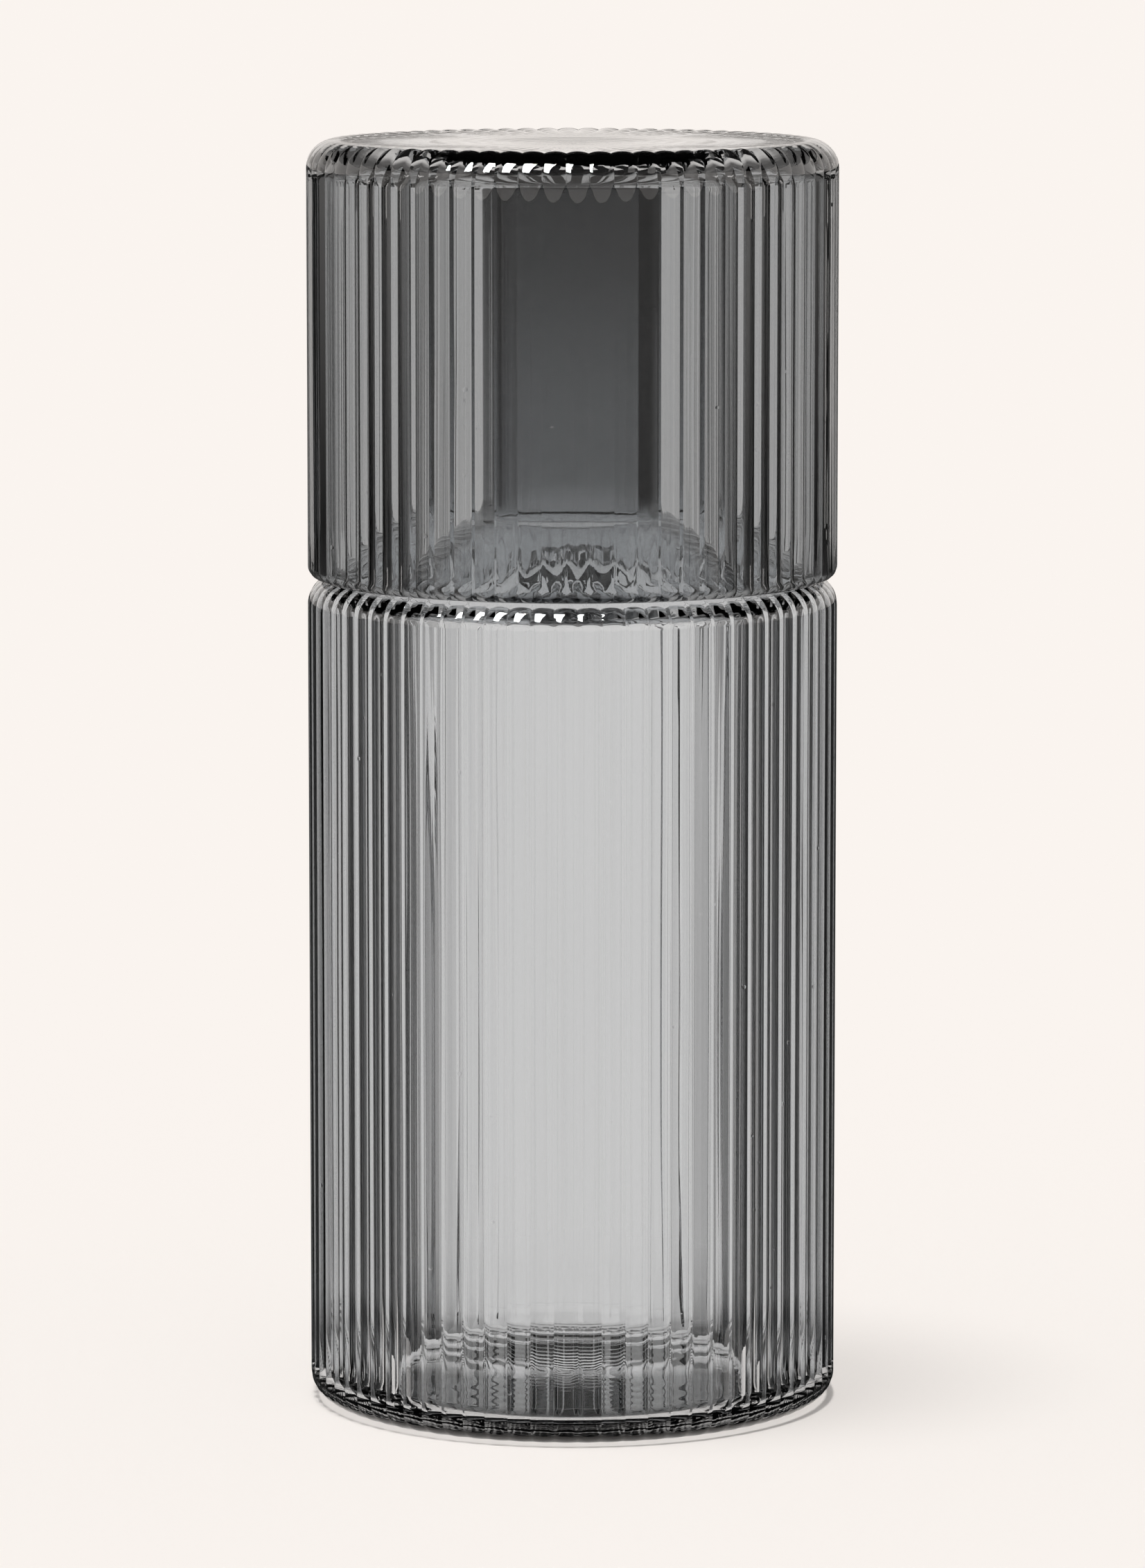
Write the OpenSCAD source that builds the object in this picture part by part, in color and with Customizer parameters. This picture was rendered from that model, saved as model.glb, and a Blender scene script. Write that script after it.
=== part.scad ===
// Bedside carafe with a tumbler that stands upside down over its neck.
// Both pieces are smoked glass, ribbed outside and smooth inside.
// Millimetres, +Z up. The origin is the centre of the carafe's base, on the table.

/* [Whole set] */
// Outside diameter over the ribs, the same on both pieces
glass_d = 85; // [78:0.5:100]
// Height at which the carafe's straight side ends
side_h = 129; // [100:1:170]
// Height of the tumbler from its rim to its base
tumbler_h = 70; // [60:0.5:90]

/* [Ribs] */
// Number of ribs round each piece
rib_count = 70; // [60:1:72]
// How far a rib's crest stands out of the valley beside it
rib_h = 0.7; // [0.5:0.05:0.9]

/* [Carafe] */
// Thickness of the wall in a valley
carafe_wall = 2.2; // [1.8:0.1:3]
// Thickness of the glass under the floor
carafe_floor_t = 3; // [2.6:0.1:6]
// Rounding of the heel, over the ribs
heel_r = 4; // [3:0.1:6]
// Rounding of the shoulder's edge, over the ribs
shoulder_r = 4.4; // [4:0.1:6]
// Slope of the shoulder in degrees
shoulder_slope = 27; // [20:1:32]
// Length along the slope over which the ribs run out
shoulder_rib_run = 8; // [6:0.5:10]
// Outside diameter of the neck
neck_d = 35; // [30:0.5:38]
// Thickness of the neck's wall
neck_wall = 3.5; // [3.3:0.1:5]
// Radius of the hollow curve where the shoulder turns up into the neck
neck_curve_r = 3; // [2:0.5:5]
// Rounding of the mouth's two edges
mouth_edge_r = 1.6; // [1:0.1:1.6]
// Depth of the hollow under the base
punt_depth = 1; // [0.5:0.1:1.5]
// Diameter of the hollow under the base
punt_d = 60; // [44:1:64]

/* [Tumbler] */
// Thickness of the wall in a valley
tumbler_wall = 3.1; // [2.6:0.1:3.5]
// Thickness of the base, over the ribs
tumbler_base_t = 3.2; // [3:0.1:7]
// Rounding of the base's edge, over the ribs
base_edge_r = 4.5; // [4:0.1:6]
// Length on the base over which the ribs run out
base_rib_run = 20; // [15:0.5:22]
// How far the middle of the base lies below the ribs round it
base_dish = 0.35; // [0.2:0.05:0.5]
// Diameter of the dimple in the middle of the base
dimple_d = 25; // [20:1:30]
// Depth of the dimple
dimple_depth = 0.4; // [0.2:0.1:0.8]
// Rounding of the rim outside, over the ribs
rim_outer_r = 2; // [1.6:0.1:2.2]
// Rounding of the rim inside
rim_inner_r = 1.4; // [1:0.1:1.5]

/* [Clearances] */
// Gap between the tumbler's rim and the shoulder that it sits on
seat_gap = 0.2; // [0.15:0.05:0.4]
// Gap between the carafe's mouth and the tumbler's base above it
mouth_gap = 1.6; // [1.2:0.1:5]

/* [Hidden] */
$fn = 96;
// Corner between floor and wall inside both pieces
floor_corner_r = 3;
// Overrun of every cut, and how deep the neck's foot is sunk into the shoulder
cut = 1;
// Step by which the neck's round foot stays inside the many-sided shoulder
foot_step = 0.05;
// One rib's outline across its width, from its valley over its crest, as shares of its height
rib_outline_shares = [0, 0.75, 1, 0.75];
// Steps in which a rib bends through a right angle
bend_steps = 4;
smoke = [0.35, 0.35, 0.36, 0.55];
dark_smoke = [0.24, 0.24, 0.25, 0.65];

crest_r = glass_d / 2;
valley_r = crest_r - rib_h;
neck_r = neck_d / 2;
bore_r = neck_r - neck_wall;
carafe_inner_r = valley_r - carafe_wall;
tumbler_inner_r = valley_r - tumbler_wall;

// The shoulder's edge and its slope share one arc centre, outside and inside
edge_centre = [crest_r - shoulder_r, side_h];
slope_normal = [sin(shoulder_slope), cos(shoulder_slope)];
slope_uphill = [-cos(shoulder_slope), sin(shoulder_slope)];
crest_edge_end = edge_centre + shoulder_r * slope_normal;
valley_edge_end = edge_centre + (shoulder_r - rib_h) * slope_normal;
run_out_end = valley_edge_end + shoulder_rib_run * slope_uphill;

// The rim's inner rounding rests on the crests of the shoulder, a seat gap away
crest_line = run_out_end - crest_edge_end;
crest_normal = [crest_line[1], -crest_line[0]] / norm(crest_line);
rim_ball_r = tumbler_inner_r + rim_inner_r;
rim_reach = rim_inner_r + seat_gap;
reach_on_line = (rim_reach - (rim_ball_r - crest_edge_end[0]) * crest_normal[0]) / crest_normal[1];
reach_on_edge = sqrt(pow(shoulder_r + rim_reach, 2) - pow(rim_ball_r - edge_centre[0], 2));
rim_ball_z = max(crest_edge_end[1] + reach_on_line, edge_centre[1] + reach_on_edge);
rim_z = rim_ball_z - rim_inner_r;
tumbler_top = rim_z + tumbler_h;
tumbler_floor = tumbler_top - tumbler_base_t;
mouth_z = tumbler_floor - mouth_gap;

// A ring of the ribbed skin is its radius, its height, the way its ribs stand out, as an angle
// above level, and how far they stand out
function edge_rings(centre, r, from_angle, to_angle) =
    let (steps = round(bend_steps * abs(to_angle - from_angle) / 90))
    [for (s = [0:steps])
        let (a = from_angle + (to_angle - from_angle) * s / steps)
        [centre[0] + r * cos(a), centre[1] + r * sin(a), a, rib_h]];

// Radius of the ball whose cap has this depth and diameter
function cap_ball_r(depth, d) = (d * d / 4 + depth * depth) / (2 * depth);

// A closed body whose side is ribbed all round and whose two ends are flat
module ribbed_body(rings) {
    per_rib = len(rib_outline_shares);
    around = rib_count * per_rib;
    points = [for (ring = rings, i = [0:around - 1])
        let (
            rise = ring[3] * rib_outline_shares[i % per_rib],
            turn = i * 360 / around,
            r = ring[0] + rise * cos(ring[2])
        )
        [r * cos(turn), r * sin(turn), ring[1] + rise * sin(ring[2])]];
    side = [for (k = [0:len(rings) - 2], i = [0:around - 1])
        let (
            here = k * around + i,
            beside = k * around + (i + 1) % around
        )
        each [[here, here + around, beside + around], [here, beside + around, beside]]];
    bottom = [for (i = [0:around - 1]) i];
    top = [for (i = [1:around]) len(rings) * around - i];
    polyhedron(points, concat(side, [bottom, top]));
}

// Half section of the air or glass below a slope that turns up into a neck
module slope_and_neck(side_r, edge_r, r, curve_r, top) {
    slope_start = edge_centre + edge_r * slope_normal;
    neck_foot = slope_start[1] + (slope_start[0] - r) * tan(shoulder_slope);
    curve_rise = (curve_r - (r + curve_r - slope_start[0]) * slope_normal[0]) / slope_normal[1];
    curve_centre = [r + curve_r, slope_start[1] + curve_rise];
    polygon([[0, side_h], [side_r, side_h], slope_start, [r, neck_foot], [0, neck_foot]]);
    translate(edge_centre)
        circle(r = edge_r);
    difference() {
        polygon([
            [r - cut, neck_foot],
            [r, neck_foot],
            curve_centre - curve_r * slope_normal,
            curve_centre,
            [r - cut, curve_centre[1]]
        ]);
        translate(curve_centre)
            circle(r = curve_r);
    }
    translate([0, neck_foot])
        square([r, top - neck_foot]);
}

// Ring between an upright wall at radius r and the ball that rounds the wall's end off
module end_rounding(r, end_z, round_r, upwards) {
    inner_z = end_z - upwards * round_r;
    rotate_extrude()
        difference() {
            translate([r - cut, min(inner_z, end_z + upwards * cut)])
                square([round_r + cut, round_r + cut]);
            translate([r + round_r, inner_z])
                circle(r = round_r);
        }
}

// Shallow hollow in a flat face, the face looking the way that facing points
module shallow_hollow(depth, d, face_z, facing) {
    ball_r = cap_ball_r(depth, d);
    translate([0, 0, face_z + facing * (ball_r - depth)])
        sphere(r = ball_r);
}

module carafe_body() {
    heel_centre = [crest_r - heel_r, heel_r];
    ribbed_body(concat(
        [[crest_r - heel_r, 0, -90, 0]],
        edge_rings(heel_centre, heel_r - rib_h, -90 + 90 / bend_steps, 0),
        edge_rings(edge_centre, shoulder_r - rib_h, 0, 90 - shoulder_slope),
        [[run_out_end[0], run_out_end[1], 90 - shoulder_slope, 0]]
    ));
}

// The shoulder inside the ribs' end, and the neck with its mouth
module carafe_neck() {
    foot_r = run_out_end[0] - foot_step;
    rotate_extrude() {
        intersection() {
            slope_and_neck(valley_r, shoulder_r - rib_h, neck_r, neck_curve_r, mouth_z - mouth_edge_r);
            translate([0, run_out_end[1] - cut])
                square([foot_r, mouth_z]);
        }
        translate([neck_r - mouth_edge_r, mouth_z - mouth_edge_r])
            circle(r = mouth_edge_r);
        translate([0, run_out_end[1]])
            square([neck_r - mouth_edge_r, mouth_z - run_out_end[1]]);
    }
}

module carafe_hollow() {
    corner = [carafe_inner_r - floor_corner_r, carafe_floor_t + floor_corner_r];
    inner_edge_r = shoulder_r - rib_h - carafe_wall;
    rotate_extrude() {
        slope_and_neck(carafe_inner_r, inner_edge_r, bore_r, neck_curve_r + neck_wall, mouth_z + cut);
        translate([0, corner[1]])
            square([carafe_inner_r, side_h - corner[1]]);
        translate(corner)
            circle(r = floor_corner_r);
        translate([0, carafe_floor_t])
            square([corner[0], side_h - carafe_floor_t]);
    }
}

module carafe() {
    color(smoke)
        difference() {
            union() {
                carafe_body();
                carafe_neck();
            }
            carafe_hollow();
            end_rounding(bore_r, mouth_z, mouth_edge_r, 1);
            shallow_hollow(punt_depth, punt_d, 0, -1);
        }
}

module tumbler_body() {
    rim_centre = [crest_r - rim_outer_r, rim_z + rim_outer_r];
    base_centre = [crest_r - base_edge_r, tumbler_top - base_edge_r];
    flat_r = base_centre[0] - base_rib_run;
    middle_z = tumbler_top - base_dish;
    half_way = [(base_centre[0] + flat_r) / 2, (tumbler_top - rib_h + middle_z) / 2, 90, rib_h / 2];
    ribbed_body(concat(
        [[rim_centre[0], rim_z, -90, 0]],
        edge_rings(rim_centre, rim_outer_r - rib_h, -90 / 2, 0),
        edge_rings(base_centre, base_edge_r - rib_h, 0, 90),
        [half_way, [flat_r, middle_z, 90, 0]]
    ));
}

module tumbler_hollow() {
    corner = [tumbler_inner_r - floor_corner_r, tumbler_floor - floor_corner_r];
    rotate_extrude() {
        translate([0, rim_z - cut])
            square([tumbler_inner_r, corner[1] - rim_z + cut]);
        translate(corner)
            circle(r = floor_corner_r);
        translate([0, rim_z])
            square([corner[0], tumbler_floor - rim_z]);
    }
}

module tumbler() {
    color(dark_smoke)
        difference() {
            tumbler_body();
            tumbler_hollow();
            end_rounding(tumbler_inner_r, rim_z, rim_inner_r, -1);
            shallow_hollow(dimple_depth, dimple_d, tumbler_top - base_dish, 1);
        }
}

carafe();
tumbler();
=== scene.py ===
# %% [markdown]
# A bedside carafe and its tumbler, both of smoked, ribbed glass. The tumbler stands upside down
# over the carafe's neck and closes it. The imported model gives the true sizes, places and joint, so
# it is loaded first, and everything that follows is measured from it.

# %% Load the frame
import math

import bmesh
import bpy
from mathutils import Matrix, Vector


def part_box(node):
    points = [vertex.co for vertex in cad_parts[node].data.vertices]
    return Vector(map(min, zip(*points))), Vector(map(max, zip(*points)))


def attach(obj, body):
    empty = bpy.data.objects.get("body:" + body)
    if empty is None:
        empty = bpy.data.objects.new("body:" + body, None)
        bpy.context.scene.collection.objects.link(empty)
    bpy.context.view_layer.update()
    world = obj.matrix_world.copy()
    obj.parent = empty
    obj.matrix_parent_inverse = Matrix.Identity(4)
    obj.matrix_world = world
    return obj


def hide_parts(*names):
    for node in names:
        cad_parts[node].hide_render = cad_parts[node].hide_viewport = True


MM = 0.001
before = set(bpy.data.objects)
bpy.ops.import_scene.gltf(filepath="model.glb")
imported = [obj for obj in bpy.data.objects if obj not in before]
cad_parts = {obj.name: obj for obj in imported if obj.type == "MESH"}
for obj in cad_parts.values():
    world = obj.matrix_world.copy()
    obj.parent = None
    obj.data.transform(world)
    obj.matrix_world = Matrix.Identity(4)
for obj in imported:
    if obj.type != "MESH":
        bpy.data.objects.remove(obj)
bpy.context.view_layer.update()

# %% [markdown]
# The driving sizes. The radius over the ribs and the heights come from the boxes of the two nodes,
# so they stay true to the model. A box can't tell walls, roundings and the run of the ribs, so
# these are named here in millimetres, as the model has them.

# %% Sizes of both pieces
carafe_low, carafe_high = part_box("carafe")
tumbler_low, tumbler_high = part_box("tumbler")
crest_r = (carafe_high[0] - carafe_low[0]) / 2
rib_count = 70
rib_h = 0.7 * MM
floor_corner_r = 3 * MM
print("radius over the ribs", round(crest_r / MM, 2), "mm")

# %% Sizes of the carafe
mouth_z = carafe_high[2]
side_h = 129 * MM
heel_r = 4 * MM
shoulder_r = 4.4 * MM
shoulder_slope = math.radians(27)
shoulder_rib_run = 8 * MM
carafe_inner_r = 39.6 * MM
carafe_floor = 3 * MM
neck_r = 17.5 * MM
bore_r = 14 * MM
neck_curve_r = 3 * MM
mouth_edge_r = 1.6 * MM
punt_r = 30 * MM
punt_depth = 1 * MM
print("mouth at", round(mouth_z / MM, 2), "mm")

# %% Sizes of the tumbler
rim_z = tumbler_low[2]
tumbler_top = tumbler_high[2]
tumbler_floor = tumbler_top - 3.2 * MM
tumbler_inner_r = 38.7 * MM
base_edge_r = 4.5 * MM
base_rib_run = 20 * MM
base_dish = 0.35 * MM
dimple_r = 12.5 * MM
dimple_depth = 0.4 * MM
rim_outer_r = 2 * MM
rim_inner_r = 1.4 * MM
print("rim at", round(rim_z / MM, 2), "mm, top at", round(tumbler_top / MM, 2), "mm")

# %% [markdown]
# Blown glass is a figure of revolution, so each piece starts as one outline in the XZ plane. The
# outline could be a curve with a Screw modifier, but the ribs have to know where along it they are.
# So a pen vertex draws it: an extrude makes each straight stretch, a spin about the arc's centre
# makes each round one, and every point keeps a note of how far the ribs stand out there.

# %% The pen
FULL, NONE = (1, 1), (0, 0)


def start_outline(r, z):
    """A new mesh with one vertex, and the layer in which each point keeps its share of rib."""
    bm = bmesh.new()
    bm.verts.layers.float.new("rib")
    tip = bmesh.ops.create_vert(bm, co=(r, 0, z))["vert"][0]
    return bm, tip


def note_ribs(bm, first, ribs):
    """Sets the rib share of the points drawn since first, eased from ribs[0] to ribs[1]."""
    layer = bm.verts.layers.float["rib"]
    bm.verts.ensure_lookup_table()
    fresh = bm.verts[first:]
    for n, point in enumerate(fresh):
        t = (n + 1) / len(fresh)
        point[layer] = ribs[0] + (ribs[1] - ribs[0]) * t * t * (3 - 2 * t)


print("a rib's share runs between two values, such as", NONE, "or", FULL)


# %% Straight stretches and arcs
def line_to(bm, tip, r, z, steps=1, ribs=NONE):
    """Draws a straight stretch to (r, z)."""
    first, start, end = len(bm.verts), tip.co.copy(), Vector((r, 0, z))
    for n in range(steps):
        tip = bmesh.ops.extrude_vert_indiv(bm, verts=[tip])["verts"][0]
        tip.co = start.lerp(end, (n + 1) / steps)
    note_ribs(bm, first, ribs)
    return tip


def arc_about(bm, tip, centre, turn, steps, ribs=NONE):
    """Turns the pen about centre, anticlockwise where turn is positive, and draws the arc."""
    first = len(bm.verts)
    made = bmesh.ops.spin(
        bm, geom=[tip], cent=(centre[0], 0, centre[1]), axis=(0, -1, 0), angle=turn, steps=steps
    )
    note_ribs(bm, first, ribs)
    return next(g for g in made["geom_last"] if isinstance(g, bmesh.types.BMVert))


print("the pen draws straight stretches and arcs")

# %% [markdown]
# The ribs are seventy round-backed lobes with a sharp valley between each two. They could be an
# array of half rods, but a mould cuts them into one skin. So after the spin every point is sunk
# along the outline's own normal, by nothing on a crest and by the rib's whole height in a valley.
# That way one rule carries the ribs up the side, round each edge and out over the flat.

# %% The shape of one rib
STEPS_PER_RIB = 10
rib_pitch = 2 * math.pi / rib_count
half_width = crest_r * rib_pitch / 2
lobe_r = (half_width**2 + rib_h**2) / (2 * rib_h)


def lobe_drop(across):
    """How far a rib's round back lies below its crest, as a share; across is 0 at a valley."""
    x = half_width * abs(2 * across - 1)
    return (lobe_r - math.sqrt(lobe_r**2 - x**2)) / rib_h


print("a rib is", round(2 * half_width / MM, 2), "mm wide")
print("its round back has a radius of", round(lobe_r / MM, 2), "mm")


# %% Sink the valleys of one rib
HALF_STEP = 0.5 / STEPS_PER_RIB


def outline_normals(bm):
    """Keeps each outline point's own outward normal, which lies to the right of the pen's way."""
    across, up = bm.verts.layers.float.new("normal_r"), bm.verts.layers.float.new("normal_z")
    bm.verts.ensure_lookup_table()
    points = list(bm.verts)
    for n, point in enumerate(points):
        before, after = points[max(n - 1, 0)], points[min(n + 1, len(points) - 1)]
        way = (after.co - before.co).normalized()
        point[across], point[up] = way.z, -way.x


def sink_valleys(bm):
    """Sinks each point by the rib's drop there, and keeps the valleys' edges sharp."""
    layers = bm.verts.layers.float
    rib, across, up = layers["rib"], layers["normal_r"], layers["normal_z"]
    valleys = set()
    for point in bm.verts:
        if point[rib] <= 0:
            continue
        around = math.atan2(point.co.y, point.co.x)
        phase = around / rib_pitch
        out_x, out_y = point[across] * math.cos(around), point[across] * math.sin(around)
        outward = Vector((out_x, out_y, point[up]))
        point.co -= rib_h * point[rib] * lobe_drop(phase) * outward
        if min(phase, 1 - phase) < HALF_STEP:
            valleys.add(point)
    for edge in bm.edges:
        edge.smooth = not (edge.verts[0] in valleys and edge.verts[1] in valleys)


print("a rib has", STEPS_PER_RIB, "steps across, and a valley is", round(rib_h / MM, 2), "mm deep")

# %% [markdown]
# One rib's worth of skin is copied round the axis: seven copies make a tenth of the piece, and ten
# of those close it. The seams and the poles are merged, the normals are turned outwards once the
# shell is closed, and the piece is turned to where its ribs stand.

# %% Repeat the rib and finish a piece
RIBS_PER_PART = 7
WELD = 0.0005 * MM
CM3 = 1e-6


def repeat_round(bm, times, angle):
    """Turns copies of all that there is by each multiple of angle, times pieces in all."""
    first = bm.verts[:] + bm.edges[:] + bm.faces[:]
    for n in range(1, times):
        copy = bmesh.ops.duplicate(bm, geom=first)["geom"]
        points = [g for g in copy if isinstance(g, bmesh.types.BMVert)]
        way = Matrix.Rotation(n * angle, 3, "Z")
        bmesh.ops.rotate(bm, verts=points, cent=(0, 0, 0), matrix=way)


def put_in_scene(bm, name):
    """Makes an object of a finished bmesh, at the origin."""
    mesh = bpy.data.meshes.new(name)
    bm.to_mesh(mesh)
    bm.free()
    piece = bpy.data.objects.new(name, mesh)
    bpy.context.scene.collection.objects.link(piece)
    return piece


def spin_ribbed(bm, name, turned):
    """Spins the outline through one rib, sinks the valleys and repeats the rib all round."""
    outline_normals(bm)
    bmesh.ops.spin(
        bm, geom=bm.verts[:] + bm.edges[:], cent=(0, 0, 0), axis=(0, 0, 1),
        angle=rib_pitch, steps=STEPS_PER_RIB,
    )
    sink_valleys(bm)
    repeat_round(bm, RIBS_PER_PART, rib_pitch)
    repeat_round(bm, rib_count // RIBS_PER_PART, RIBS_PER_PART * rib_pitch)
    bmesh.ops.remove_doubles(bm, verts=bm.verts[:], dist=WELD)
    bmesh.ops.recalc_face_normals(bm, faces=bm.faces[:])
    for face in bm.faces:
        face.smooth = True
    way = Matrix.Rotation(turned, 3, "Z")
    bmesh.ops.rotate(bm, verts=bm.verts[:], cent=(0, 0, 0), matrix=way)
    open_edges = sum(not edge.is_manifold for edge in bm.edges)
    print(name, "has", len(bm.faces), "faces and", open_edges, "open edges")
    print(name, "holds", round(bm.calc_volume() / CM3, 1), "cm3 of glass")
    return put_in_scene(bm, name)


print("a piece is", rib_count // RIBS_PER_PART, "parts of", RIBS_PER_PART, "ribs")

# %% [markdown]
# The shoulder slopes up from its rounded edge and turns into the neck in a small hollow curve. The
# same construction serves the glass outside and the air inside, each with its own radii.

# %% Shoulder
QUARTER = math.pi / 2
edge_centre = Vector((crest_r - shoulder_r, side_h))
slope_normal = Vector((math.sin(shoulder_slope), math.cos(shoulder_slope)))
slope_uphill = Vector((-math.cos(shoulder_slope), math.sin(shoulder_slope)))
slope_turn = QUARTER - shoulder_slope


def neck_curve_centre(edge_r, upright_r, curve_r):
    """Centre of the hollow curve between the slope and an upright wall at upright_r."""
    start = edge_centre + edge_r * slope_normal
    r = upright_r + curve_r
    rise = (curve_r - (r - start.x) * slope_normal.x) / slope_normal.y
    return Vector((r, start.y + rise))


outer_curve_centre = neck_curve_centre(shoulder_r, neck_r, neck_curve_r)
print("the hollow curve's centre lies", round(outer_curve_centre.y / MM, 1), "mm up")

# %% [markdown]
# The carafe is drawn from the middle of its base: the hollow under it, the heel, the ribbed side
# and the shoulder. On the two rounded edges the ribs have lost about half of their height, as
# pressed and polished ribs do, and they run out on the slope, where the skin turns smooth for the
# neck. Each stretch has just enough steps to look round, since all the ribs repeat each step.

# %% Carafe, outside
EDGE = 0.45
LOWER_HEEL = 0.35
HOLLOW_STEPS = 8
PLAIN_STEPS = 2
LOWER_HEEL_STEPS, UPPER_HEEL_STEPS = 5, 7
WALL_STEPS = 8
SHOULDER_STEPS = 9
NECK_CURVE_STEPS = 8
NECK_STEPS = 6
punt_ball_r = (punt_r**2 + punt_depth**2) / (2 * punt_depth)
punt_turn = math.asin(punt_r / punt_ball_r)
lower_turn = LOWER_HEEL * QUARTER


def draw_carafe_outside():
    """Draws from the middle of the base up to the lip, and returns the bmesh and the pen."""
    bm, tip = start_outline(0, punt_depth)
    tip = arc_about(bm, tip, (0, punt_depth - punt_ball_r), -punt_turn, HOLLOW_STEPS)
    heel_centre = (crest_r - heel_r, heel_r)
    tip = line_to(bm, tip, heel_centre[0], 0, PLAIN_STEPS)
    tip = arc_about(bm, tip, heel_centre, lower_turn, LOWER_HEEL_STEPS, ribs=(0, EDGE))
    tip = arc_about(bm, tip, heel_centre, QUARTER - lower_turn, UPPER_HEEL_STEPS, ribs=(EDGE, 1))
    tip = line_to(bm, tip, crest_r, side_h, WALL_STEPS, ribs=FULL)
    tip = arc_about(bm, tip, edge_centre, slope_turn, SHOULDER_STEPS, ribs=(1, EDGE))
    run_out = edge_centre + shoulder_r * slope_normal + shoulder_rib_run * slope_uphill
    tip = line_to(bm, tip, run_out.x, run_out.y, SHOULDER_STEPS, ribs=(EDGE, 0))
    foot = outer_curve_centre - neck_curve_r * slope_normal
    tip = line_to(bm, tip, foot.x, foot.y, PLAIN_STEPS)
    tip = arc_about(bm, tip, outer_curve_centre, -slope_turn, NECK_CURVE_STEPS)
    return bm, line_to(bm, tip, neck_r, mouth_z - mouth_edge_r, NECK_STEPS)


print("the hollow under the base is part of a ball of", round(punt_ball_r / MM), "mm radius")

# %% [markdown]
# The pen goes on over the mouth's rounded lip and down the smooth inside: the bore, the shoulder
# seen from within, the wall, and the floor with its hollow corner. The last point is on the axis
# again, so the spin closes the glass all round without a cap.

# %% Carafe, inside
LIP_STEPS = 6
INNER_SLOPE_STEPS = 3
INNER_EDGE_STEPS = 5
CORNER_STEPS = 7
FLOOR_STEPS = 4
inner_edge_r = shoulder_r - (crest_r - carafe_inner_r)


def draw_carafe_inside(bm, tip):
    """Draws on over the lip and down to the middle of the floor, and returns the bmesh."""
    lip_z = mouth_z - mouth_edge_r
    tip = arc_about(bm, tip, (neck_r - mouth_edge_r, lip_z), QUARTER, LIP_STEPS)
    tip = line_to(bm, tip, bore_r + mouth_edge_r, mouth_z)
    tip = arc_about(bm, tip, (bore_r + mouth_edge_r, lip_z), QUARTER, LIP_STEPS)
    inner_curve_r = neck_curve_r + neck_r - bore_r
    inner_centre = neck_curve_centre(inner_edge_r, bore_r, inner_curve_r)
    tip = line_to(bm, tip, bore_r, inner_centre.y, NECK_STEPS)
    tip = arc_about(bm, tip, inner_centre, slope_turn, NECK_CURVE_STEPS)
    slope_top = edge_centre + inner_edge_r * slope_normal
    tip = line_to(bm, tip, slope_top.x, slope_top.y, INNER_SLOPE_STEPS)
    tip = arc_about(bm, tip, edge_centre, -slope_turn, INNER_EDGE_STEPS)
    corner = (carafe_inner_r - floor_corner_r, carafe_floor + floor_corner_r)
    tip = line_to(bm, tip, carafe_inner_r, corner[1], WALL_STEPS)
    tip = arc_about(bm, tip, corner, -QUARTER, CORNER_STEPS)
    line_to(bm, tip, 0, carafe_floor, FLOOR_STEPS)
    return bm


print("inside, the shoulder's edge has a radius of", round(inner_edge_r / MM, 2), "mm")

# %% Carafe
carafe_turn = math.radians(-1.4)
carafe = spin_ribbed(draw_carafe_inside(*draw_carafe_outside()), "carafe_glass", carafe_turn)
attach(carafe, "carafe")
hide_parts("carafe")

# %% [markdown]
# The tumbler is drawn from the middle of its inner floor, down its smooth inside, round the rim, up
# the ribbed side and over the base's edge. On the base the ribs turn inwards and fade towards a
# plain round dimple, which is what the eye goes to first when the set is seen from above.

# %% Tumbler
RIM_STEPS = 8
BASE_EDGE_STEPS = 12
BASE_RIB_STEPS = 16


def draw_tumbler():
    """Draws from the middle of the inner floor to the middle of the dimple."""
    bm, tip = start_outline(0, tumbler_floor)
    corner = (tumbler_inner_r - floor_corner_r, tumbler_floor - floor_corner_r)
    tip = line_to(bm, tip, corner[0], tumbler_floor, FLOOR_STEPS)
    tip = arc_about(bm, tip, corner, -QUARTER, CORNER_STEPS)
    inner_rim_centre = (tumbler_inner_r + rim_inner_r, rim_z + rim_inner_r)
    tip = line_to(bm, tip, tumbler_inner_r, inner_rim_centre[1], WALL_STEPS)
    tip = arc_about(bm, tip, inner_rim_centre, QUARTER, LIP_STEPS)
    rim_centre = (crest_r - rim_outer_r, rim_z + rim_outer_r)
    tip = line_to(bm, tip, rim_centre[0], rim_z)
    tip = arc_about(bm, tip, rim_centre, QUARTER, RIM_STEPS, ribs=(0, 1))
    base_centre = (crest_r - base_edge_r, tumbler_top - base_edge_r)
    tip = line_to(bm, tip, crest_r, base_centre[1], WALL_STEPS, ribs=FULL)
    tip = arc_about(bm, tip, base_centre, QUARTER, BASE_EDGE_STEPS, ribs=(1, EDGE))
    middle_z = tumbler_top - base_dish
    ribs_end = base_centre[0] - base_rib_run
    tip = line_to(bm, tip, ribs_end, middle_z, BASE_RIB_STEPS, ribs=(EDGE, 0))
    tip = line_to(bm, tip, dimple_r, middle_z, PLAIN_STEPS)
    ball_r = (dimple_r**2 + dimple_depth**2) / (2 * dimple_depth)
    ball_centre = (0, middle_z + ball_r - dimple_depth)
    arc_about(bm, tip, ball_centre, -math.asin(dimple_r / ball_r), HOLLOW_STEPS)
    return bm


tumbler_turn = carafe_turn + rib_pitch / 2
tumbler = spin_ribbed(draw_tumbler(), "tumbler_glass", tumbler_turn)
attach(tumbler, "tumbler")
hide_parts("tumbler")

# %% [markdown]
# A material is a tree of nodes, and most of these nodes do sums. A few helpers keep the trees
# short: one makes a math node from numbers or sockets, one makes a smooth step between two limits,
# and the others find a point's place on its object and its distance from the axis.

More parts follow.
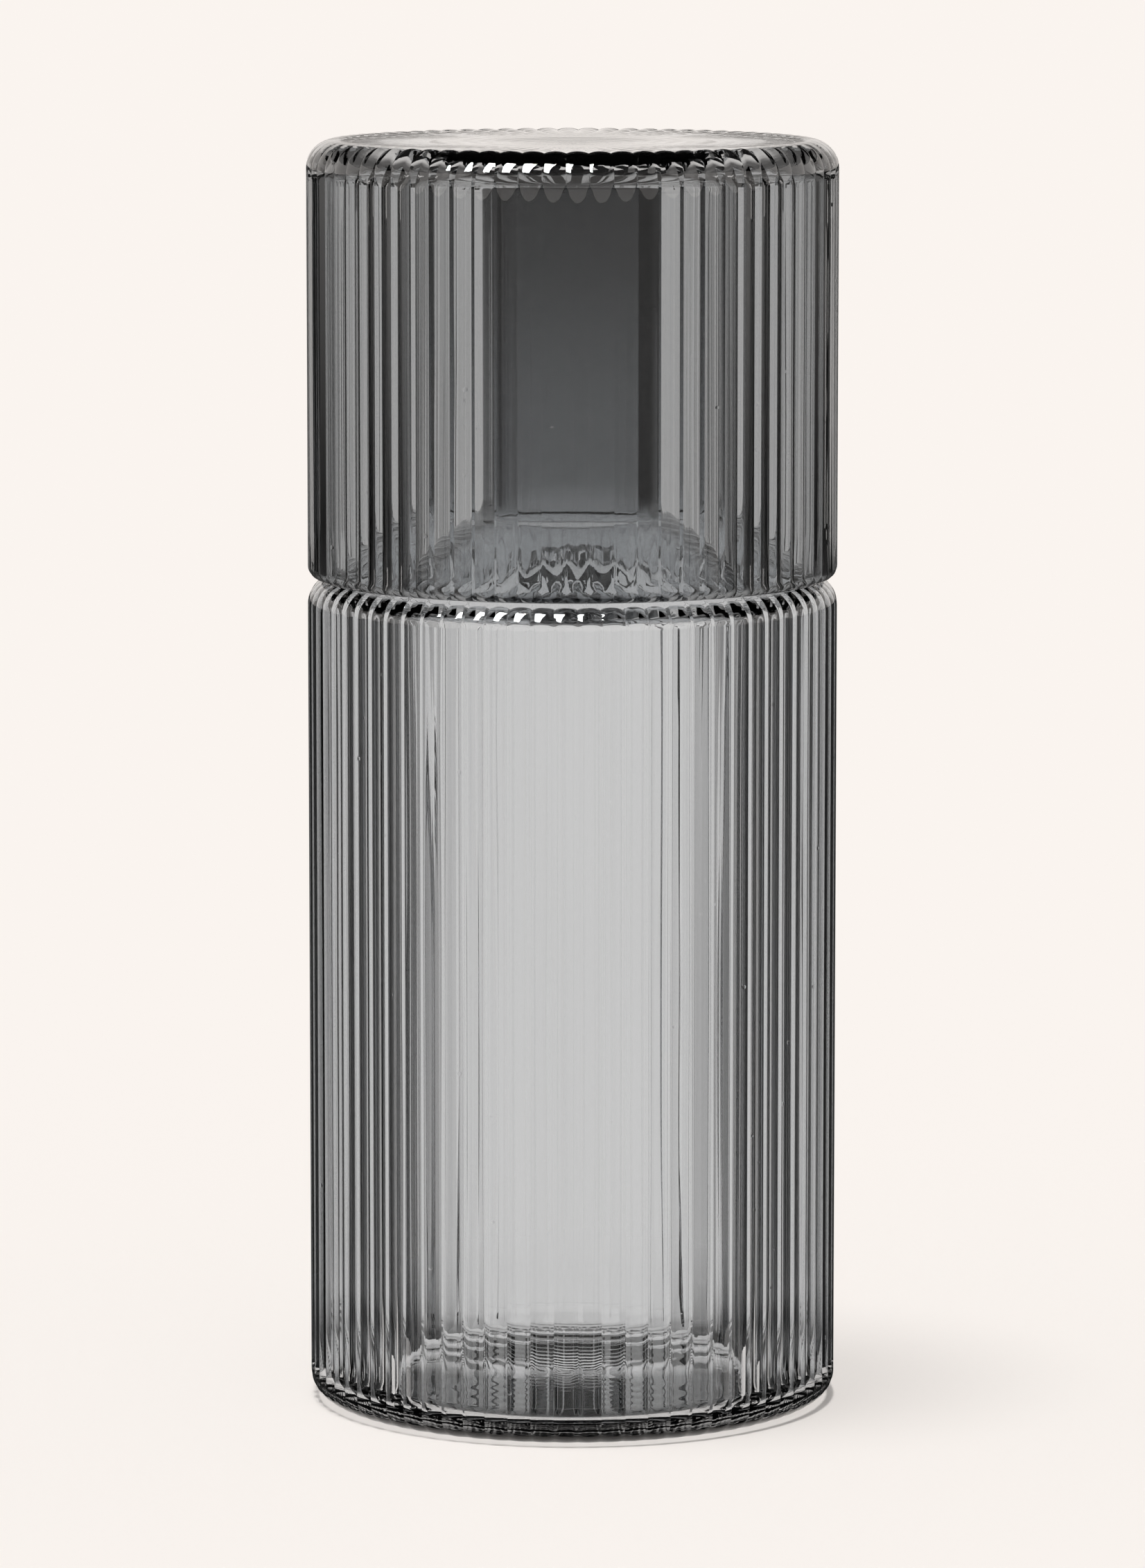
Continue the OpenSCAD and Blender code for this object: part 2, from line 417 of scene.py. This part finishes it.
# %% Helpers for node trees: sums
def feed(tree, socket, value):
    """Sets a socket to a number, or links it where the value is a socket."""
    if isinstance(value, (int, float)):
        socket.default_value = value
    else:
        tree.links.new(value, socket)


def calc(tree, operation, *values, clamp=False):
    """A math node; each value is a number or the socket that it comes from."""
    node = tree.nodes.new("ShaderNodeMath")
    node.operation = operation
    node.use_clamp = clamp
    for socket, value in zip(node.inputs, values):
        feed(tree, socket, value)
    return node.outputs[0]


def fade(tree, value, start, end):
    """Runs smoothly from 0 to 1 while the value runs from start to end."""
    node = tree.nodes.new("ShaderNodeMapRange")
    node.interpolation_type = "SMOOTHSTEP"
    feed(tree, node.inputs["Value"], value)
    feed(tree, node.inputs["From Min"], start)
    feed(tree, node.inputs["From Max"], end)
    return node.outputs["Result"]


print("helpers for sums: feed, calc and fade")


# %% Helpers for node trees: places
def object_place(tree):
    """The place on the object."""
    return tree.nodes.new("ShaderNodeTexCoord").outputs["Object"]


def split_up(tree, place):
    """The X, Y and Z of a place."""
    split = tree.nodes.new("ShaderNodeSeparateXYZ")
    tree.links.new(place, split.inputs[0])
    return split.outputs


def off_axis(tree, at):
    """The distance from the axis, from the X and Y of a place."""
    x_squared = calc(tree, "MULTIPLY", at["X"], at["X"])
    y_squared = calc(tree, "MULTIPLY", at["Y"], at["Y"])
    return calc(tree, "SQRT", calc(tree, "ADD", x_squared, y_squared))


print("helpers for places: object_place, split_up and off_axis")

# %% [markdown]
# Marks that both pieces of glass share go into one node group, so that they are set in one place.
# It gives heights in metres for the bump, a roughness, and a soft variation of the smoke. The first
# mark is the strongest: in pressed glass the inside follows the ribs, and polishing has softened
# their backs, which both make each rib a weaker lens. A parabola over each rib's width stands for
# the two.

# %% Glass marks: the group, and where a point is
NEAR_WALL = 2.5 * MM
SKIN = 0.5 * MM
marks = bpy.data.node_groups.new("glass_marks", "ShaderNodeTree")
for name in ("Inner Radius", "Floor Height", "Ribs Turned", "Inside Follows", "Outside Softened"):
    marks.interface.new_socket(name, in_out="INPUT", socket_type="NodeSocketFloat")
for name in ("Height", "Roughness", "Variation"):
    marks.interface.new_socket(name, in_out="OUTPUT", socket_type="NodeSocketFloat")
given = marks.nodes.new("NodeGroupInput").outputs
place = object_place(marks)
at = split_up(marks, place)
radius = off_axis(marks, at)
wall_start = calc(marks, "SUBTRACT", given["Inner Radius"], NEAR_WALL)
near_wall = fade(marks, radius, wall_start, given["Inner Radius"])
inside = calc(marks, "LESS_THAN", radius, calc(marks, "ADD", given["Inner Radius"], SKIN))
outside = calc(marks, "SUBTRACT", 1, inside)
print("a point counts as inside up to", round(SKIN / MM, 2), "mm past the inner wall")

# %% Glass marks: the ribs' soft backs and the inside that follows them
around = calc(marks, "SUBTRACT", calc(marks, "ARCTAN2", at["Y"], at["X"]), given["Ribs Turned"])
phase = calc(marks, "FRACT", calc(marks, "DIVIDE", around, rib_pitch))
off_crest = calc(marks, "ABSOLUTE", calc(marks, "SUBTRACT", calc(marks, "MULTIPLY", phase, 2), 1))
rib_wave = calc(marks, "MULTIPLY", calc(marks, "POWER", off_crest, 2), rib_h)
on_inner_wall = calc(marks, "MULTIPLY", near_wall, inside)
inner_share = calc(marks, "MULTIPLY", on_inner_wall, given["Inside Follows"])
outer_share = calc(marks, "MULTIPLY", outside, given["Outside Softened"])
rib_marks = calc(marks, "MULTIPLY", rib_wave, calc(marks, "ADD", inner_share, outer_share))
print("rib marks reach", round(rib_h / MM, 2), "mm at a share of 1")

# %% [markdown]
# The floor of pressed glass has faint rings round its middle, where the hot glass spread in the
# mould. They could be drawn with a Wave texture, but rings that widen outwards look truer: the
# sine of a logarithm of the radius gives those. They are only some hundredths of a millimetre high.

# %% Glass marks: rings on the floor
RING_H = 0.014 * MM
RING_START = 12 * MM
RINGS = 10
FLOOR_ZONE = 3.2 * MM
spread = calc(marks, "ADD", calc(marks, "DIVIDE", radius, RING_START), 1)
growth = calc(marks, "LOGARITHM", spread, math.e)
ring_angle = calc(marks, "MULTIPLY", growth, RINGS * 2 * math.pi)
above_floor = calc(marks, "ABSOLUTE", calc(marks, "SUBTRACT", at["Z"], given["Floor Height"]))
on_floor = calc(marks, "LESS_THAN", above_floor, FLOOR_ZONE)
ring_share = calc(marks, "MULTIPLY", calc(marks, "MULTIPLY", on_floor, inside), RING_H)
floor_rings = calc(marks, "MULTIPLY", calc(marks, "SINE", ring_angle), ring_share)
print(RINGS, "rings for each e-fold of the radius")

# %% [markdown]
# The whole skin has long shallow waves, drawn out upwards as the gather was drawn, and calmer on
# the floors. A noise texture on stretched coordinates makes them. Far apart, a few small bubbles
# stay in the glass: the cores of a Voronoi texture's cells are raised a little and left slightly
# matt.

# %% Glass marks: waves
WAVE_H = 0.09 * MM
WAVE_SCALE = 75
DRAWN_OUT = 0.22
CALM_FLOOR = 0.85
stretch = marks.nodes.new("ShaderNodeMapping")
stretch.inputs["Scale"].default_value = (1, 1, DRAWN_OUT)
marks.links.new(place, stretch.inputs["Vector"])
noise = marks.nodes.new("ShaderNodeTexNoise")
noise.inputs["Scale"].default_value = WAVE_SCALE
noise.inputs["Detail"].default_value = 0
marks.links.new(stretch.outputs[0], noise.inputs["Vector"])
calm = calc(marks, "SUBTRACT", 1, calc(marks, "MULTIPLY", on_floor, CALM_FLOOR))
waves = calc(marks, "MULTIPLY", calc(marks, "MULTIPLY", noise.outputs["Fac"], WAVE_H), calm)
print("waves", round(WAVE_H / MM, 2), "mm high")

# %% Glass marks: bubbles
BUBBLE_SCALE = 130
BUBBLE_CORE, BUBBLE_EDGE = 0.02, 0.05
BUBBLE_H = 0.03 * MM
BUBBLE_MATT = 0.06
cells = marks.nodes.new("ShaderNodeTexVoronoi")
cells.inputs["Scale"].default_value = BUBBLE_SCALE
marks.links.new(place, cells.inputs["Vector"])
past_core = fade(marks, cells.outputs["Distance"], BUBBLE_CORE, BUBBLE_EDGE)
bubble = calc(marks, "SUBTRACT", 1, past_core)
bubbles = calc(marks, "MULTIPLY", bubble, BUBBLE_H)
print("bubbles", round(BUBBLE_H / MM, 2), "mm high")

# %% Glass marks: results
result = marks.nodes.new("NodeGroupOutput").inputs
pressed = calc(marks, "ADD", rib_marks, floor_rings)
height = calc(marks, "ADD", pressed, calc(marks, "ADD", waves, bubbles))
marks.links.new(height, result["Height"])
marks.links.new(calc(marks, "MULTIPLY", bubble, BUBBLE_MATT), result["Roughness"])
marks.links.new(noise.outputs["Fac"], result["Variation"])
print("glass_marks has", len(marks.nodes), "nodes")

# %% [markdown]
# Smoked glass is clear glass with a little metal oxide in it. A volume alone would turn every long
# path along a wall black, which real thin ware doesn't show. So most of the grey is given to the
# surface's colour, and a little absorption in the volume darkens the thick edges. The bump has to
# change its sign where a ray meets the skin from within the glass, or it would bend the ray the
# wrong way, so the height is multiplied by 1 outside and by -1 behind a face.

# %% Bump, tint and smoke
CLEARER = 1.03
SMOKE = 12
SMOKE_GREY = 0.5


def two_sided_bump(tree, height):
    """The normal for a height in metres, with the height's sign changed behind a face."""
    behind = tree.nodes.new("ShaderNodeNewGeometry").outputs["Backfacing"]
    side = calc(tree, "SUBTRACT", 1, calc(tree, "MULTIPLY", behind, 2))
    bump = tree.nodes.new("ShaderNodeBump")
    bump.inputs["Distance"].default_value = 1
    tree.links.new(calc(tree, "MULTIPLY", height, side), bump.inputs["Height"])
    return bump.outputs["Normal"]


def varied_tint(tree, tint, variation):
    """The tint, which the variation makes a little clearer here and there."""
    colour = tree.nodes.new("ShaderNodeMix")
    colour.data_type = "RGBA"
    colour.inputs["A"].default_value = (*tint, 1)
    colour.inputs["B"].default_value = (*(min(c * CLEARER, 1) for c in tint), 1)
    tree.links.new(variation, colour.inputs["Factor"])
    return colour.outputs["Result"]


def grey(shade):
    """A grey of one shade, without any see-through."""
    return shade, shade, shade, 1


def smoke_inside(tree):
    """A volume that absorbs SMOKE per metre of every colour."""
    volume = tree.nodes.new("ShaderNodeVolumeAbsorption")
    volume.inputs["Color"].default_value = grey(SMOKE_GREY)
    volume.inputs["Density"].default_value = SMOKE / (1 - SMOKE_GREY)
    return volume.outputs["Volume"]


print("smoke", SMOKE, "per metre")

# %% Smoked glass
GLASS_IOR = 1.5


def smoked_glass(name, tint, marks_values):
    """A glass material with the shared marks, which marks_values sets for its piece."""
    material = bpy.data.materials.new(name)
    material.use_nodes = True
    tree = material.node_tree
    tree.nodes.clear()
    glass = tree.nodes.new("ShaderNodeBsdfPrincipled")
    glass.inputs["IOR"].default_value = GLASS_IOR
    glass.inputs["Transmission Weight"].default_value = 1
    shared = tree.nodes.new("ShaderNodeGroup")
    shared.node_tree = marks
    for socket, value in marks_values.items():
        shared.inputs[socket].default_value = value
    given_marks = shared.outputs
    tree.links.new(two_sided_bump(tree, given_marks["Height"]), glass.inputs["Normal"])
    tree.links.new(given_marks["Roughness"], glass.inputs["Roughness"])
    colour = varied_tint(tree, tint, given_marks["Variation"])
    tree.links.new(colour, glass.inputs["Base Color"])
    output = tree.nodes.new("ShaderNodeOutputMaterial")
    tree.links.new(glass.outputs["BSDF"], output.inputs["Surface"])
    tree.links.new(smoke_inside(tree), output.inputs["Volume"])
    return material


print("glass bends light by an index of", GLASS_IOR)

# %% [markdown]
# The neck looks the darkest glass of the set, and darker towards the mouth. That look is painted
# shade: a thicker wall would give it, but the bore is as wide as the model says. So a colour ramp
# along the height multiplies painted shade into the tint, only on the neck's outside, where a ray
# crosses it twice.

# %% Painted shade that deepens up the neck
# Painted shade for the neck: a grey for each height in millimetres, multiplied into the tint.
NECK_PAINTED_SHADE = ((140, 1.0), (148, 0.34), (161, 0.29), (172, 0.20), (183, 0.11), (197, 0.05))
neck_painted_shade_low, neck_painted_shade_high = NECK_PAINTED_SHADE[0][0] * MM, NECK_PAINTED_SHADE[-1][0] * MM


def painted_neck_shades(tree, z):
    """The neck's painted shade at a height, from the table of a shade for each height in
    millimetres.
    """
    climb = tree.nodes.new("ShaderNodeMapRange")
    climb.inputs["From Min"].default_value = neck_painted_shade_low
    climb.inputs["From Max"].default_value = neck_painted_shade_high
    tree.links.new(z, climb.inputs["Value"])
    ramp = tree.nodes.new("ShaderNodeValToRGB")
    stops = ramp.color_ramp.elements
    stops[0].color, stops[1].color = grey(NECK_PAINTED_SHADE[0][1]), grey(NECK_PAINTED_SHADE[-1][1])
    for at_mm, shade in NECK_PAINTED_SHADE[1:-1]:
        share = (at_mm * MM - neck_painted_shade_low) / (neck_painted_shade_high - neck_painted_shade_low)
        stops.new(share).color = grey(shade)
    tree.links.new(climb.outputs["Result"], ramp.inputs["Fac"])
    return ramp.outputs["Color"]


def paint_neck_shade(material):
    """Multiplies the tint by the neck's painted shade, on the outside of the neck."""
    tree = material.node_tree
    tint_in = tree.nodes["Principled BSDF"].inputs["Base Color"]
    at = split_up(tree, object_place(tree))
    on_outside = calc(tree, "GREATER_THAN", off_axis(tree, at), (bore_r + neck_r) / 2)
    painted_shade_mix = tree.nodes.new("ShaderNodeMix")
    painted_shade_mix.data_type = "RGBA"
    painted_shade_mix.blend_type = "MULTIPLY"
    tree.links.new(on_outside, painted_shade_mix.inputs["Factor"])
    tree.links.new(tint_in.links[0].from_socket, painted_shade_mix.inputs["A"])
    tree.links.new(painted_neck_shades(tree, at["Z"]), painted_shade_mix.inputs["B"])
    tree.links.new(painted_shade_mix.outputs["Result"], tint_in)


print("the neck darkens from", NECK_PAINTED_SHADE[0][0], "to", NECK_PAINTED_SHADE[-1][0], "mm")

# %% Both glasses
CARAFE_TINT = (0.80, 0.822, 0.842)
TUMBLER_TINT = (0.63, 0.648, 0.663)
carafe_marks = {
    "Inner Radius": carafe_inner_r, "Floor Height": carafe_floor, "Ribs Turned": carafe_turn,
    "Inside Follows": 0.4, "Outside Softened": 0.4,
}
tumbler_marks = {
    "Inner Radius": tumbler_inner_r, "Floor Height": tumbler_floor, "Ribs Turned": tumbler_turn,
    "Inside Follows": 0.35, "Outside Softened": 0.6,
}
carafe_glass = smoked_glass("carafe_smoked_glass", CARAFE_TINT, carafe_marks)
# Painted shade darkens the carafe's tint up the neck, towards the mouth.
paint_neck_shade(carafe_glass)
tumbler_glass = smoked_glass("tumbler_smoked_glass", TUMBLER_TINT, tumbler_marks)
for piece, material in ((carafe, carafe_glass), (tumbler, tumbler_glass)):
    piece.data.materials.append(material)
    print(material.name, "has", len(material.node_tree.nodes), "nodes")

# %% [markdown]
# The floor and the room are one warm white. Glass shows what is behind it, so what a ray sees
# depends on what it has met: the camera, a reflection or a refraction sees the warm white itself,
# and all the other rays see a plain white room that lights the object evenly.

# %% Warm white for rays that look
CREAM = (0.947, 0.896, 0.855)


def looking_rays(tree):
    """1 for a ray of the camera, and for one that a reflection or refraction sends on."""
    path = tree.nodes.new("ShaderNodeLightPath").outputs
    total = calc(tree, "ADD", path["Is Camera Ray"], path["Is Glossy Ray"])
    return calc(tree, "ADD", total, path["Is Transmission Ray"], clamp=True)


def mix_shaders(tree, share, first, second):
    """The first shader where share is 0, and the second where it is 1."""
    mix = tree.nodes.new("ShaderNodeMixShader")
    feed(tree, mix.inputs["Fac"], share)
    tree.links.new(first, mix.inputs[1])
    tree.links.new(second, mix.inputs[2])
    return mix.outputs[0]


print("warm white", CREAM)


# %% Dull materials for the stage
def dull_material(name, colour, strength=0):
    """A material without any gloss, of one colour, and lit white where strength is above 0."""
    material = bpy.data.materials.new(name)
    material.use_nodes = True
    shader = material.node_tree.nodes["Principled BSDF"]
    shader.inputs["Base Color"].default_value = (*colour, 1)
    shader.inputs["Roughness"].default_value = 1
    shader.inputs["Specular IOR Level"].default_value = 0
    shader.inputs["Emission Color"].default_value = (1, 1, 1, 1)
    shader.inputs["Emission Strength"].default_value = strength
    return material


print("helper for materials without gloss: dull_material")

# %% [markdown]
# The floor is mostly the same glowing warm white, and for the rest plain paper, which is the part
# that takes the shadow. Close under the heel a narrow ring is all paper, so that the thin dark line
# of contact shows there.

# %% Floor
FLOOR_HALF_WIDTH = 12
FLOOR_GAP = 0.1 * MM
PAPER_GLOW = 0.62
CONTACT_LINE_R = 41.9 * MM
LINE_CORE, LINE_EDGE = 0.27 * MM, 0.9 * MM
bm = bmesh.new()
bmesh.ops.create_grid(bm, x_segments=1, y_segments=1, size=FLOOR_HALF_WIDTH)
bmesh.ops.translate(bm, verts=bm.verts, vec=(0, 0, -FLOOR_GAP))
floor = put_in_scene(bm, "floor")
paper = dull_material("pale_paper", CREAM)
floor.data.materials.append(paper)
tree = paper.node_tree
glow = tree.nodes.new("ShaderNodeEmission")
glow.inputs["Color"].default_value = (*CREAM, 1)
floor_radius = off_axis(tree, split_up(tree, object_place(tree)))
off_line = calc(tree, "ABSOLUTE", calc(tree, "SUBTRACT", floor_radius, CONTACT_LINE_R))
glowing = calc(tree, "MULTIPLY", fade(tree, off_line, LINE_CORE, LINE_EDGE), PAPER_GLOW)
glow_share = calc(tree, "MULTIPLY", looking_rays(tree), glowing)
sheet = tree.nodes["Principled BSDF"].outputs["BSDF"]
surface = mix_shaders(tree, glow_share, sheet, glow.outputs["Emission"])
tree.links.new(surface, tree.nodes["Material Output"].inputs["Surface"])
print("floor", 2 * FLOOR_HALF_WIDTH, "m wide")

# %% Room
ROOM_STRENGTH = 0.62
room = bpy.data.worlds.new("studio")
room.use_nodes = True
bpy.context.scene.world = room
tree = room.node_tree
tree.nodes.clear()
plain = tree.nodes.new("ShaderNodeBackground")
plain.inputs["Color"].default_value = (1, 1, 1, 1)
plain.inputs["Strength"].default_value = ROOM_STRENGTH
warm = tree.nodes.new("ShaderNodeBackground")
warm.inputs["Color"].default_value = (*CREAM, 1)
surface = mix_shaders(tree, looking_rays(tree), plain.outputs[0], warm.outputs[0])
tree.links.new(surface, tree.nodes.new("ShaderNodeOutputWorld").inputs["Surface"])
print("room lights at", ROOM_STRENGTH, "and looks warm white")

# %% [markdown]
# One soft lamp from high on the left, a little in front, gives the short soft shadow on the right.
# A sun with a wide disc is used rather than an area lamp, because its shadow is as soft on a model
# of any size.

# %% Soft lamp
SUN_POWER = 1.3
SUN_WIDTH = math.radians(13)
SUN_FROM = Vector((-0.13, -0.06, 0.99))
sun_data = bpy.data.lights.new("soft_sun", "SUN")
sun_data.energy = SUN_POWER
sun_data.angle = SUN_WIDTH
sun = bpy.data.objects.new("soft_sun", sun_data)
bpy.context.scene.collection.objects.link(sun)
sun.rotation_euler = SUN_FROM.to_track_quat("Z", "Y").to_euler()
print("lamp", round(math.degrees(SUN_FROM.angle(Vector((0, 0, 1))))), "degrees off the zenith")

# %% [markdown]
# Clear glass on white nearly vanishes, so photographers stand dark cards round it. The ribs bend
# the view sideways and pick these cards up as dark lines. Here the cards are seen only in the
# glass: they cast no shadow and light nothing. Each is a stage piece, so none of them belongs to
# the object.

# %% Helpers for cards
def set_up_card(bm, name, material, through_glass, in_reflections):
    """Puts a card on the stage, seen through glass or in reflections, but never directly."""
    card = put_in_scene(bm, name)
    card.data.materials.append(material)
    card.visible_camera = False
    card.visible_diffuse = False
    card.visible_shadow = False
    card.visible_volume_scatter = False
    card.visible_transmission = through_glass
    card.visible_glossy = in_reflections
    print(name, "set up")


def light_card(material, share):
    """Lights a card in the warm white, by the share that a socket gives."""
    shader = material.node_tree.nodes["Principled BSDF"]
    shader.inputs["Emission Color"].default_value = (*CREAM, 1)
    material.node_tree.links.new(share, shader.inputs["Emission Strength"])


def point_at(bm, azimuth, r, z):
    """A vertex at a distance from the axis; azimuth is 0 at the back and grows to the right."""
    place = (r * math.sin(azimuth), r * math.cos(azimuth), z)
    return bmesh.ops.create_vert(bm, co=place)["vert"][0]


def sweep(bm, points, turn, steps):
    """Joins the points by edges and turns the line about the axis, to the right."""
    line = [bm.edges.new(pair) for pair in zip(points, points[1:])]
    bmesh.ops.spin(
        bm, geom=[*points, *line], cent=(0, 0, 0), axis=(0, 0, -1), angle=turn, steps=steps,
        use_merge=turn >= 2 * math.pi,
    )


print("helpers for cards: set_up_card, light_card, point_at and sweep")

# %% [markdown]
# The two side cards stand close to the glass and leave a gap at the back, through which the ribs
# pick up the white. A plain black card would put hard black bars into the ribs, where the photo
# shows a soft gradient in each of them. So these are lit cream at the gap and darken round the side
# in a smooth step, a little less beside the tumbler. A mat at the foot of each does the same for
# the floor.

# %% Graded side cards: the shade
CARD_BLACK = (0.01, 0.01, 0.01)
DARKENS = math.radians(14), math.radians(58)
TUMBLER_ZONE = (0.12, 0.2)
LIGHTER_ABOVE = 0.15
graded = dull_material("graded_card", CARD_BLACK)
tree = graded.node_tree
at = split_up(tree, object_place(tree))
from_back = calc(tree, "ARCTAN2", calc(tree, "ABSOLUTE", at["X"]), at["Y"])
lighter = calc(tree, "MULTIPLY", fade(tree, at["Z"], *TUMBLER_ZONE), LIGHTER_ABOVE)
darkness = calc(tree, "SUBTRACT", 1, lighter)
dark = calc(tree, "MULTIPLY", fade(tree, from_back, *DARKENS), darkness)
light_card(graded, calc(tree, "SUBTRACT", 1, dark))
darken_from, darken_to = (round(math.degrees(angle)) for angle in DARKENS)
print("side cards darken from", darken_from, "to", darken_to, "degrees off the back")

# %% Graded side cards
MAT_START_R = 44 * MM
CARD_LIFT = 0.4 * MM
SIDE_CARD_R = 0.13
SIDE_CARD_TOP = 0.45
GAP_HALF, SIDE_CARD_END = math.radians(9), math.radians(92)
CARD_STEPS = 12
for name, start in (("side_card_right", GAP_HALF), ("side_card_left", -SIDE_CARD_END)):
    bm = bmesh.new()
    corners = [
        point_at(bm, start, MAT_START_R, CARD_LIFT),
        point_at(bm, start, SIDE_CARD_R, CARD_LIFT),
        point_at(bm, start, SIDE_CARD_R, SIDE_CARD_TOP),
    ]
    sweep(bm, corners, SIDE_CARD_END - GAP_HALF, CARD_STEPS)
    set_up_card(bm, name, graded, through_glass=True, in_reflections=False)

# %% [markdown]
# Behind the set a black card hangs above the level of the camera's view, and darkens what the
# rounded edges and the far half of the floor show. A disc under the glass is a painted shadow of
# the table under the base: dark in front, it darkens the near half of the floor, through which one
# looks down at the table. Towards the back it glows warm white as painted light, softly, so that no
# hard edge shows from above.

# %% Back card
BACK_R = 1.2
BACK_HALF = math.radians(75)
BACK_LOW, BACK_HIGH = math.radians(9), math.radians(40)
bm = bmesh.new()
heights = [BACK_R * math.tan(rise) for rise in (BACK_LOW, BACK_HIGH)]
ends = [point_at(bm, -BACK_HALF, BACK_R, height) for height in heights]
sweep(bm, ends, 2 * BACK_HALF, CARD_STEPS)
black = dull_material("black_card", CARD_BLACK)
set_up_card(bm, "back_card", black, through_glass=True, in_reflections=False)

# %% Painted contact shadow
CONTACT_R = 38.3 * MM
CONTACT_SIDES = 64
CONTACT_Z = -0.05 * MM
BRIGHTENS = -2 * MM, 10 * MM
bm = bmesh.new()
bmesh.ops.create_circle(bm, cap_ends=True, segments=CONTACT_SIDES, radius=CONTACT_R)
bmesh.ops.translate(bm, verts=bm.verts, vec=(0, 0, CONTACT_Z))
contact = dull_material("painted_contact_shadow", CARD_BLACK)
tree = contact.node_tree
at = split_up(tree, object_place(tree))
# Painted shadow: black under the front of the base, glowing warm white towards the back as painted
# light.
light_card(contact, fade(tree, at["Y"], *BRIGHTENS))
set_up_card(bm, "painted_contact_shadow", contact, through_glass=True, in_reflections=False)

# %% [markdown]
# Reflections need the opposite care. A white floor mirrored in the heel and a white ceiling
# mirrored in the rounded edges would wash them out. So reflections see black velvet instead of the
# floor and a dark ceiling overhead, which shows through the glass as well. The ceiling starts well
# above the horizon, which leaves the sides bright.

# %% Velvet
ROUND_STEPS = 48
VELVET_BLACK = (0.03, 0.03, 0.03)
VELVET_START_R, VELVET_END_R = 41.8 * MM, 11
VELVET_LIFT = 0.2 * MM
bm = bmesh.new()
ring = [point_at(bm, 0, r, VELVET_LIFT) for r in (VELVET_START_R, VELVET_END_R)]
sweep(bm, ring, 2 * math.pi, ROUND_STEPS)
velvet = dull_material("velvet", VELVET_BLACK)
set_up_card(bm, "velvet", velvet, through_glass=False, in_reflections=True)

# %% Ceiling
CEILING_BLACK = (0.02, 0.02, 0.02)
CEILING_R = 2.2
CEILING_FROM = math.radians(25)
low_edge = (CEILING_R * math.cos(CEILING_FROM), CEILING_R * math.sin(CEILING_FROM))
bm, tip = start_outline(*low_edge)
arc_about(bm, tip, (0, 0), QUARTER - CEILING_FROM, CARD_STEPS)
bmesh.ops.spin(
    bm, geom=bm.verts[:] + bm.edges[:], cent=(0, 0, 0), axis=(0, 0, 1),
    angle=2 * math.pi, steps=ROUND_STEPS, use_merge=True,
)
bmesh.ops.remove_doubles(bm, verts=bm.verts[:], dist=MM)
ceiling = dull_material("dark_ceiling", CEILING_BLACK)
set_up_card(bm, "ceiling", ceiling, through_glass=True, in_reflections=True)

# %% [markdown]
# The row of white dots along both rounded edges is one softbox, high in front on the left, mirrored
# once in each rib. A real softbox is a lit sheet, so this one is too, seen in reflections only.

# %% Softbox
SOFTBOX_WIDTH, SOFTBOX_HEIGHT = 0.36, 0.8
SOFTBOX_LEFT, SOFTBOX_RISE = math.radians(29), math.radians(50)
SOFTBOX_AWAY = 1.2
SOFTBOX_AIM = Vector((0, 0, 0.15))
SOFTBOX_GLOW = 40
NO_COLOUR = (0, 0, 0)
to_left, to_front = -math.sin(SOFTBOX_LEFT), -math.cos(SOFTBOX_LEFT)
way = Vector((to_left, to_front, math.tan(SOFTBOX_RISE))).normalized()
stretched = Matrix.Diagonal((SOFTBOX_WIDTH / 2, SOFTBOX_HEIGHT / 2, 1, 1))
turned = way.to_track_quat("Z", "Y").to_matrix().to_4x4()
moved = Matrix.Translation(SOFTBOX_AIM + SOFTBOX_AWAY * way)
bm = bmesh.new()
bmesh.ops.create_grid(bm, x_segments=1, y_segments=1, size=1)
bmesh.ops.transform(bm, verts=bm.verts, matrix=stretched)
bmesh.ops.transform(bm, verts=bm.verts, matrix=moved @ turned)
lamp = dull_material("softbox_glow", NO_COLOUR, SOFTBOX_GLOW)
set_up_card(bm, "softbox", lamp, through_glass=False, in_reflections=True)
print("softbox", SOFTBOX_WIDTH, "by", SOFTBOX_HEIGHT, "m")

# %% [markdown]
# The camera looks slightly down, so that the top shows as a narrow ellipse as in the photo. It
# stands well back with a long lens, which keeps the upright edges nearly parallel. The Standard
# view transform renders the colours as they are written.

# %% Camera
CAMERA_PLACE = Vector((0, -1.2, 0.262))
CAMERA_AIM = Vector((0, 0, 0.0996))
CAMERA_LENS = 172.6
SENSOR_WIDTH = 36
camera_data = bpy.data.cameras.new("camera")
camera_data.lens = CAMERA_LENS
camera_data.sensor_width = SENSOR_WIDTH
camera = bpy.data.objects.new("camera", camera_data)
bpy.context.scene.collection.objects.link(camera)
camera.location = CAMERA_PLACE
camera.rotation_euler = (CAMERA_PLACE - CAMERA_AIM).to_track_quat("Z", "Y").to_euler()
bpy.context.scene.camera = camera
bpy.context.scene.view_settings.view_transform = "Standard"
looks_down = math.asin((CAMERA_PLACE - CAMERA_AIM).normalized().z)
print("camera looks down", round(math.degrees(looks_down), 1), "degrees")
